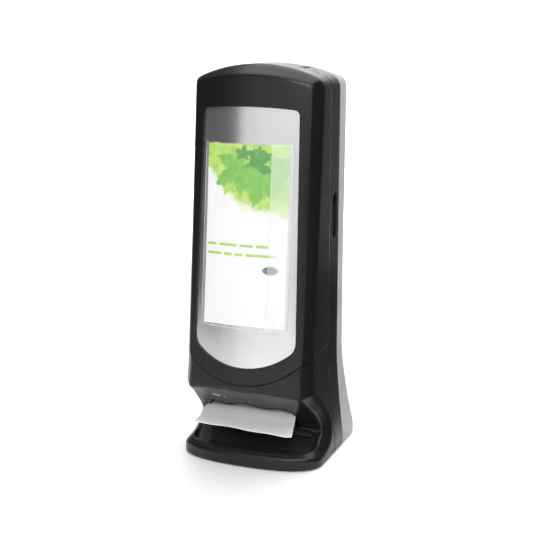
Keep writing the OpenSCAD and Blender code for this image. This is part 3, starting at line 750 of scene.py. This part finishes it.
# ---------------------------------------------------------------- the CAD nodes' own materials
nodes = {o["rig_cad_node"]: o for o in bpy.context.scene.objects if "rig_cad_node" in o}
SLOTS = {
    "black_satin": "front_cover rear_housing dispensing_front",
    "black_texture": "base_pan slot_lip lower_lip latch_slide latch_guide panel_frame follower_plate "
                     "throat_plate",
    "grey_shell": "back_cover", "silver_panel": "window_panel", "clear_pocket": "card_pocket",
    "printed_card": "insert_card",
    "pale_plastic": "magazine_left magazine_right magazine_back door_liner retaining_fingers",
    "bearing_plastic": "follower_bushes",
    "zinc_steel": "ballast_screws back_cover_screws weight_screws panel_screws catch_screws catch_hook "
                  "rod_bracket_upper rod_bracket_lower",
    "bright_steel": "guide_rods hinge_pins", "black_steel": "hinge_leaves_fixed hinge_leaves_door",
    "cast_iron": "ballast_plate follower_weight", "foot_rubber": "rubber_feet",
    "napkin_paper": "napkin_stack napkin"}
slot_of = {n: k for k, v in SLOTS.items() for n in v.split()}


def paint(ob, material):
    ob.data.materials.clear()
    ob.data.materials.append(material)


for n, o in nodes.items():
    paint(o, M[slot_of[n]])
    mod = o.modifiers.new("edges", "BEVEL")
    mod.width = 0.00035
    mod.segments = 2
    mod.limit_method = "ANGLE"
    mod.angle_limit = math.radians(40)
    mod.harden_normals = False
    o.modifiers.new("normals", "WEIGHTED_NORMAL").keep_sharp = True
# Painted shade: the latch slide gets the darker copy of the black plastic
paint(nodes["latch_slide"], M["recess_black"])            # it lies in the shade of its slot


def piece(ob, body, material, stands_for=()):
    """A visible piece: its body, material and slot, and the CAD nodes that it stands for."""
    paint(ob, M[material])
    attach(ob, body)
    if stands_for:
        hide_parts(*stands_for)
    return ob


# ---------------------------------------------------------------- the mouldings
# Grid lines, finer where the form turns. The long straight stretches need few.
X_FRONT = axis((-120, -60, 1.5), (-60, 60, 2.2), (60, 120, 1.5))
X_DOOR = axis((-107, -70, 1.5), (-70, 70, 3.5), (70, 107, 1.5))
X_REAR = axis((-120, -70, 1.7), (-70, 70, 6), (70, 120, 1.7))
Z_FRONT = axis((0, 92, 1.4), (92, 130, 1.5), (130, 150, 1.0))
Z_DOOR = axis((132, 142, 1.0), (142, 158, 2.0), (158, 168, 1.2), (168, 250, 3.5), (250, 540, 5),
              (540, 624, 1.4))
Z_HOUSING = axis((0, 22, 1.6), (22, 175, 5), (175, 205, 3), (205, 262, 1.8), (262, 340, 8), (340, 430, 1.7),
                 (430, 505, 8), (505, 624, 1.8))
Z_BACK = axis((0, 22, 1.6), (22, 60, 2.5), (60, 130, 1.6), (130, 175, 5), (175, 555, 12), (555, 624, 1.8))
Y_FRONT, Y_DOOR = axis((-124.6, -5, 1.45)), axis((-124, -5, 1.5))
Y_HOUSING, Y_BACK = axis((-9, 37, 1.5)), axis((33, 116, 1.7))
MOULDINGS = [("dispensing_front", "root", "black_satin", dispensing, X_FRONT, Y_FRONT, Z_FRONT, True),
             ("front_cover", "door", "black_satin", door, X_DOOR, Y_DOOR, Z_DOOR, True),
             ("rear_housing", "root", "black_satin", housing, X_REAR, Y_HOUSING, Z_HOUSING, False),
             ("back_cover", "root", "grey_shell", back_shell, X_REAR, Y_BACK, Z_BACK, False)]
for node, body, material, form, xs, ys, zs, bend in MOULDINGS:
    points, quads, slopes = surface(form, xs, ys, zs, bend)
    piece(mesh_object(node + "_shell", points, quads, slopes), body, material, stands_for=[node])


# ---------------------------------------------------------------- small builders
def face_point(x, z, depth):
    """Point at that depth behind the bowed face, at height z, in body mm."""
    bow = BOW - math.sqrt(BOW * BOW - x * x)
    v = bow + depth
    h = (z - FACE_Z + v * SL) / CL
    return (x, FACE_Y + v * CL + h * SL, z)


def ribbon(name, rows, close=False):
    """Quads between rows of points, all of one length."""
    n = len(rows[0])
    pts = [p for r in rows for p in r]
    faces = []
    for i in range(len(rows) - 1):
        for j in range(n - (0 if close else 1)):
            k = (j + 1) % n
            faces.append((i * n + j, i * n + k, (i + 1) * n + k, (i + 1) * n + j))
    return mesh_object(name, pts, faces)


def close_ends(ob):
    bm = bmesh.new()
    bm.from_mesh(ob.data)
    bmesh.ops.holes_fill(bm, edges=[e for e in bm.edges if e.is_boundary])
    bmesh.ops.recalc_face_normals(bm, faces=bm.faces)
    bm.to_mesh(ob.data)
    bm.free()
    return ob


def tube(name, line, r, sides=8):
    """A round bead along a line of points, tapered at its ends."""
    rows, last = [], len(line) - 1
    for i, p in enumerate(line):
        d = (Vector(line[min(i + 1, last)]) - Vector(line[max(i - 1, 0)])).normalized()
        u = d.cross(Vector((0, 0, 1)))
        u = (u if u.length > 0.05 else d.cross(Vector((0, 1, 0)))).normalized()
        w = d.cross(u)
        taper = min(1.0, 0.25 + 10 * min(i, last - i) / last)
        rows.append([tuple(Vector(p) + (u * math.cos(t) + w * math.sin(t)) * r * taper)
                     for t in [2 * math.pi * k / sides for k in range(sides)]])
    return close_ends(ribbon(name, rows, True))


def decal(name, shapes, depth, lift):
    """Flat printed shapes, laid on the bowed face at that depth. Each is a list of (x, z) points."""
    step_mm = 3.0
    bm = bmesh.new()
    for one in shapes:
        bm.faces.new([bm.verts.new((p[0], 0, p[1])) for p in one])
    across = [p[0] for one in shapes for p in one]
    lo, hi = min(across), max(across)
    n = max(1, int((hi - lo) / step_mm))
    for i in range(1, n):
        x = lo + (hi - lo) * i / n
        everything = bm.verts[:] + bm.edges[:] + bm.faces[:]
        bmesh.ops.bisect_plane(bm, geom=everything, plane_co=(x, 0, 0), plane_no=(1, 0, 0))
    bmesh.ops.triangulate(bm, faces=bm.faces[:])
    pts = [face_point(v.co.x, v.co.z, depth - lift) for v in bm.verts]
    bm.verts.index_update()
    faces = [[v.index for v in f.verts] for f in bm.faces]
    bm.free()
    ob = mesh_object(name, pts, faces)
    bm = bmesh.new()
    bm.from_mesh(ob.data)
    for f in bm.faces:
        f.normal_update()
    if sum(f.normal.y for f in bm.faces) > 0:
        bmesh.ops.reverse_faces(bm, faces=bm.faces)
    bm.to_mesh(ob.data)
    bm.free()
    return ob


def polar(cx, cz, r, degrees):
    """The point at that distance from (cx, cz), turned clockwise from straight up."""
    t = math.radians(degrees)
    return cx + r * math.sin(t), cz + r * math.cos(t)


LOBES = ((-118, 0.62), (-58, 0.88), (0, 1.0), (57, 0.86), (116, 0.60))
TEETH = ((-28, 0.46), (-22, 0.67), (-17, 0.61), (-12, 0.84), (-8, 0.77), (-3.5, 0.93), (0, 1.0), (3.5, 0.92),
         (8, 0.78), (12, 0.85), (17, 0.62), (22, 0.68), (28, 0.46))


def leaf_shape(cx, cz, size, turn, seed):
    """A generic leaf: pointed lobes round a stalk, with small uneven teeth."""
    r = random.Random(seed)
    jag = 0.10
    pts = []
    for a, length in LOBES:
        length *= 0.94 + 0.12 * r.random()
        pts += [(a + da, length * f * (1 + jag * (r.random() - 0.5))) for da, f in TEETH]
    return [polar(cx, cz, size * f, turn + a) for a, f in pts + [(165, 0.16), (195, 0.16)]]


def in_card(shape):
    """The shape, held inside the card's edges."""
    left, right, top = -67.6, 65.6, 504.2
    return [(min(max(x, left), right), min(z, top)) for x, z in shape]


def printed(name, shapes, material, lift):
    piece(decal("card_" + name, shapes, CARD_FRONT, lift), "card", material)


# ---------------------------------------------------------------- the card's own print, and its pocket
CARD_FRONT = 2.5                                     # how far the card's front lies behind the bowed face
# Name, stalk's foot (x, z), length, turn, ink, seed
LEAVES = [("leaf_a", -48, 494, 36, 215, "ink_leaf_lime", 1), ("leaf_b", 34, 492, 40, 150, "ink_leaf_lime", 2),
          ("leaf_i", -26, 452, 30, 205, "ink_leaf_lime", 9), ("leaf_g", 50, 474, 44, 182, "ink_leaf", 7),
          ("leaf_c", 8, 474, 40, 120, "ink_leaf_dark", 3), ("leaf_d", -12, 468, 50, 236, "ink_leaf", 4),
          ("leaf_e", 22, 452, 46, 196, "ink_leaf", 5), ("leaf_f", -8, 486, 19, 5, "ink_leaf_dark", 6),
          ("leaf_h", 16, 491, 14, 78, "ink_leaf_dark", 8)]
for i, (name, cx, cz, size, turn, material, seed) in enumerate(LEAVES):
    printed(name, [in_card(leaf_shape(cx, cz, size, turn, seed))], material, 0.03 + 0.012 * i)
for i, (cx, cz, size, turn) in enumerate([(-12, 468, 50, 236), (22, 452, 46, 196), (50, 474, 44, 182)]):
    for k, (a, f) in enumerate([(-62, 0.7), (0, 0.88), (60, 0.68)]):
        base, other = polar(cx, cz, 0.35, turn + a - 90), polar(cx, cz, 0.35, turn + a + 90)
        vein = [base, polar(cx, cz, size * f, turn + a), other]
        printed(f"vein_{i}{k}", [in_card(vein)], "ink_vein", 0.15)
stalk = [(-12, 467.5), (8, 472.6), (34, 480.6), (64, 483.2), (64, 484.1), (34, 481.7), (8, 473.8),
         (-12, 468.7)]
printed("stalk", [stalk], "ink_vein", 0.16)


def pill(x0, x1, z, h):
    """A bar with round ends."""
    r, n = h / 2, 6
    turns = [(r * math.sin(math.pi * k / n), r * math.cos(math.pi * k / n)) for k in range(n + 1)]
    return [(x1 - r + s, z + c) for s, c in turns] + [(x0 + r - s, z - c) for s, c in turns]


# Two rows of plain bars and a plain lens with a bar across it fill the card's foot, in place of any lettering
for row, (z, bars) in enumerate([(350.5, (16, 31, 23, 21)), (336.5, (25, 14, 14, 47))]):
    x, dashes = -64.8, []
    for wide in bars:
        dashes.append(pill(x, x + wide, z, 4.2))
        x += wide + 4.0
    printed(f"row_{row}", dashes, "ink_green", 0.05)
lens = [(41 + 13 * math.cos(t), 315 + 6.4 * math.sin(t) * abs(math.sin(t)) ** 0.4)
        for t in [2 * math.pi * k / 28 for k in range(28)]]
printed("mark", [lens], "ink_grey", 0.05)
printed("mark_rib", [[(29, 314.6), (52, 314.6), (52, 315.5), (29, 315.5)]], "ink_pale", 0.09)


def pocket(ob):
    return piece(ob, "door", "clear_film")


def upright(x, z0, z1, depth, n):
    return [face_point(x, z, depth) for z in np.linspace(z0, z1, n)]


FILM_X0, FILM_X1, FILM_Z0, FILM_Z1, FILM_DEPTH = 37.5, 70.2, 225, 504.6, 0.85
POCKET_X0, POCKET_X1, POCKET_Z0, POCKET_Z1, RIM_DEPTH = -72, 70.4, 223.6, 507, 1.5
film_xs = [FILM_X0 + (FILM_X1 - FILM_X0) * j / 10 for j in range(11)]
film_zs = [FILM_Z0 + (FILM_Z1 - FILM_Z0) * i / 2 for i in range(3)]
film_rows = [[face_point(x, z, FILM_DEPTH) for x in film_xs] for z in film_zs]
pocket(ribbon("pocket_film", film_rows)).visible_shadow = False
for k, x in enumerate((37.4, 39.6)):
    pocket(tube(f"pocket_crease_{k}", upright(x, 226, 504, 0.9, 24), 0.22, 6))
for k, x in enumerate((POCKET_X0, POCKET_X1)):
    pocket(tube(f"pocket_edge_{k}", upright(x, POCKET_Z0, POCKET_Z1, RIM_DEPTH, 30), 0.55))
foot = [face_point(x, 223.8, RIM_DEPTH) for x in np.linspace(POCKET_X0, POCKET_X1, 30)]
pocket(tube("pocket_foot", foot, 0.6))


# ---------------------------------------------------------------- ridge, lip bead and small marks
def on_scoop(x, z, lift=0.0):
    """Point on the dispensing front's outside at that x and z, found along y."""
    ys = np.linspace(-150.0, -20.0, 1301)
    d = scoop_q(np.full_like(ys, x), ys, np.full_like(ys, z))
    hit = int(np.argmax(d < 0))
    return (x, float(ys[hit]) - lift, z)


RIDGE_HALF = 86


def ridge_z(x):
    """Height of the ridge, which runs 11.5 mm below the seam."""
    return SMILE_Z - math.sqrt((SMILE_R + 11.5) ** 2 - x * x)


ridge = [on_scoop(float(x), ridge_z(x), -0.10) for x in np.linspace(-RIDGE_HALF, RIDGE_HALF, 61)]
piece(tube("ridge_line", ridge, 0.55), "root", "black_satin")
for k, x in enumerate((-86.5, 86.5)):
    x0, y0, z0 = on_scoop(x, ridge_z(RIDGE_HALF) + 0.6)
    stub = [(x0, y0 + 0.9 - 0.5 * i, z0) for i in range(4)]
    piece(tube(f"ridge_pip_{k}", stub, 1.5, 12), "root", "black_texture")

bead = [on_scoop(x, z + 0.5, -0.6) for x, z in LIP if z > 57]
piece(tube("lip_bead", bead, 1.5, 12), "root", "black_satin")
for name, shape in (("print_napkin", [(-62, 101.5), (-50.5, 99.2), (-50, 103.8), (-61.5, 106.2)]),
                    ("print_arrow", [(-46, 98.2), (-41.5, 97.4), (-43.2, 102.2)])):
    mark = mesh_object(name, [on_scoop(x, z, 0.16) for x, z in shape], [range(len(shape))])
    piece(mark, "root", "ink_pale")


# ---------------------------------------------------------------- paper
def napkin_sheet():
    """One folded napkin: out over the lip, folded at its front edge and back underneath."""
    cols = 44
    # y, z and how freely the paper moves there, from inside the throat out to the fold
    upper = [(18, 88.6, 0), (10, 88.2, 0), (0, 86.0, 0), (-12, 82.0, 0), (-24, 78.4, 0), (-34, 76.0, 0.05),
             (-42, 73.6, 0.15), (-52, 69.6, 0.3), (-62, 65.4, 0.45), (-72, 61.8, 0.62), (-82, 58.4, 0.8),
             (-89, 56.2, 0.92), (-93.2, 55.0, 1)]
    fold = [(-94.1, 54.5, 1), (-94.3, 53.8, 1), (-93.6, 53.3, 1)]
    loop = upper + fold + [(y, z - 1.5, w) for y, z, w in upper[::-1][1:]]
    rows = []
    for i, (y, z, w) in enumerate(loop):
        lower = i > len(upper) + 1
        left = -80 - 12.5 * w - 9 * math.exp(-((y + 56) / 12) ** 2)
        right = 63.2 + 10.8 * min(1, max(0, (-44 - y) / 49)) ** 0.85
        row = []
        for j in range(cols + 1):
            u = j / cols
            x = left + (right - left) * u
            wave = 0.9 * math.sin(u * 7.0 + 0.6) * w + 0.5 * math.sin(u * 17 + y * 0.12) * w
            sag = -2.2 * w * (2 * u - 1) ** 2 + 1.6 * w * math.exp(-((u - 0.02) / 0.10) ** 2)
            tilt = 1.6 * w * (0.5 - u)
            dy = w * (2.0 * math.sin(u * 3.3 + 0.4) - 1.6 * u) + 5 * w * max(0, u - 0.955) / 0.045
            arc = 3.0 * math.cos((u - 0.5) * 2.2) * (1 - w) * math.exp(-((y + 44) / 22) ** 2)
            gap = (0.5 * math.sin(u * 9 + 1.0) + 0.4) * w if lower else 0
            row.append((x, y + dy, z + wave + sag + tilt + arc - max(gap, 0)))
        rows.append(row)
    ob = ribbon("napkin_sheet", rows)
    sub = ob.modifiers.new("smooth", "SUBSURF")
    sub.levels = sub.render_levels = 1
    thick = ob.modifiers.new("thick", "SOLIDIFY")
    thick.thickness = 0.00025
    thick.offset = 0
    return ob


sheet = piece(napkin_sheet(), "root", "napkin_paper", stands_for=["napkin"])


def stack_mesh():
    """The full stack: thin folded layers that don't quite line up."""
    r = random.Random(11)
    layers, corner, x_play, y_play = 150, 2.5, 0.35, 0.7
    x0, x1, y0, y1, z0, z1 = -82.3, 82.3, -55.8, 50.8, 95.0, 535.0
    rows = []
    for k in range(layers):
        za, zb = z0 + (z1 - z0) * k / layers, z0 + (z1 - z0) * (k + 1) / layers
        dx, dy = r.uniform(-x_play, x_play), r.uniform(-y_play, 0.0)
        for f, inset in ((0.02, 0.9), (0.35, 0.1), (0.7, 0.12), (0.98, 0.95)):
            z = za + (zb - za) * f
            a, b = x0 + inset + dx + x_play, x1 - inset + dx - x_play
            c, d = y0 + inset + dy + y_play, y1 - inset + dy
            along = [corner + (b - a - 2 * corner) * s / 6 for s in range(7)]
            back = [(d - c) * s / 6 for s in range(1, 6)]
            rows.append([(a + u, c, z) for u in along] + [(b, c + u, z) for u in back]
                        + [(b - u, d, z) for u in along] + [(a, d - u, z) for u in back])
    return close_ends(ribbon("napkin_stack_layers", rows, True))


stack = piece(stack_mesh(), "root", "napkin_paper", stands_for=["napkin_stack"])
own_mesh(stack)


# ---------------------------------------------------------------- stage, light and camera, in metres
def stage(name, rows, material):
    ob = ribbon(name, [[(x * 1000, y * 1000 - OVERHANG, z * 1000) for x, y, z in row] for row in rows])
    paint(ob, M[material])
    return ob


FLOOR_FRONT, COVE_Y, COVE_R, WALL_TOP = -4.0, 3.0, 2.2, 5.2
profile = []                                         # the floor, the cove where it turns up, and the wall
for i in range(40):
    t = i / 39
    if t < 0.6:
        profile.append((FLOOR_FRONT + (COVE_Y - FLOOR_FRONT) * t / 0.6, 0.0))
    else:
        a = (t - 0.6) / 0.4 * math.pi / 2
        profile.append((COVE_Y + COVE_R * math.sin(a), COVE_R * (1 - math.cos(a))))
profile.append((COVE_Y + COVE_R, WALL_TOP))
stage("floor", [[(x, y, z) for x in (-6, -2, 0, 2, 6)] for y, z in profile], "floor_paint")

# Black cloths that only reflections see: they keep the dark sides dark. Corners (x, y) from above
RIGHT_FLAG = ((1.75, -0.55), (1.7, 0.0), (1.45, 0.65), (0.95, 1.1), (0.30, 1.35))
LEFT_FLAG = ((-2.0, 0.2), (-1.95, -0.5), (-1.6, -1.2), (-1.15, -1.65))
MAT_XS, MAT_YS, MAT_Z = (0.16, 0.8, 1.75), (-0.25, 0.2, 0.6, 1.0, 1.35), 0.0015
for name, rows in (("flag", [[(x, y, z) for x, y in RIGHT_FLAG] for z in (0.0, 0.5, 1.0, 1.6)]),
                   ("flag_left", [[(x, y, z) for x, y in LEFT_FLAG] for z in (0.0, 0.5, 1.0, 1.4)]),
                   ("flag_mat", [[(x, y, MAT_Z) for x in MAT_XS] for y in MAT_YS])):
    cloth = stage(name, rows, "flag_cloth")
    cloth.visible_camera = cloth.visible_diffuse = cloth.visible_shadow = False

world = bpy.data.worlds.new("studio")
bpy.context.scene.world = world
world.use_nodes = True
tree = world.node_tree
fill = next(n for n in tree.nodes if n.type == "BACKGROUND")
fill.inputs["Color"].default_value = (0.95, 0.97, 1.0, 1)
fill.inputs["Strength"].default_value = 0.04
room = tree.nodes.new("ShaderNodeBackground")        # a pale room, seen past the floor from other sides
room.inputs["Color"].default_value = (0.86, 0.87, 0.88, 1)
seen = tree.nodes.new("ShaderNodeMixShader")
rays = tree.nodes.new("ShaderNodeLightPath")
out = next(n for n in tree.nodes if n.type == "OUTPUT_WORLD")
tree.links.new(rays.outputs["Is Camera Ray"], seen.inputs[0])
tree.links.new(fill.outputs[0], seen.inputs[1])
tree.links.new(room.outputs[0], seen.inputs[2])
tree.links.new(seen.outputs[0], out.inputs[0])


def light(name, azimuth, elevation, distance, size_x, size_y, power, aim=(0, 0, 0.32)):
    """A soft box that looks at aim, from azimuth to the right of the front and elevation above it."""
    data = bpy.data.lights.new(name, "AREA")
    data.shape = "RECTANGLE"
    data.size, data.size_y = size_x, size_y
    data.energy = power
    ob = bpy.data.objects.new(name, data)
    a, e = math.radians(azimuth), math.radians(elevation)
    target = Vector(aim)
    away = Vector((math.sin(a) * math.cos(e), -math.cos(a) * math.cos(e), math.sin(e)))
    ob.location = target + away * distance
    ob.rotation_mode = "QUATERNION"
    ob.rotation_quaternion = (target - ob.location).to_track_quat("-Z", "Y")
    bpy.context.scene.collection.objects.link(ob)
    return ob


light("key", -7, 12, 2.2, 1.65, 1.5, 6.9)
light("front_high", 20, 30, 2.3, 0.8, 0.8, 17)
light("front_right", 48, 20, 2.3, 0.9, 0.9, 7)
light("ceiling", 0, 90, 2.28, 3.1, 3.6, 88, aim=(0.4, 0.1, 0.32))
light("backdrop", 0, 14, 3.8, 4.6, 1.8, 330, aim=(-1.6, 5.2, 1.2)).visible_glossy = False
light("floor_wash", 0, 90, 2.6, 3.6, 2.6, 70, aim=(0, 2.3, 0)).visible_glossy = False

# 21.7 degrees to the right of straight ahead, 12.4 above it and 1.76 m away
CAMERA_AT, CAMERA_AIM = (0.6327, -1.5897, 0.6738), (-0.0019, 0.0052, 0.2962)
cam_data = bpy.data.cameras.new("camera")
cam = bpy.data.objects.new("camera", cam_data)
bpy.context.scene.collection.objects.link(cam)
bpy.context.scene.camera = cam
cam_data.lens = 73.31
cam_data.sensor_width = 36.0
cam.location = CAMERA_AT
cam.rotation_mode = "QUATERNION"
cam.rotation_quaternion = (Vector(CAMERA_AIM) - cam.location).to_track_quat("-Z", "Y")
bpy.context.scene.view_settings.view_transform = "Standard"
bpy.context.scene.view_settings.look = "None"
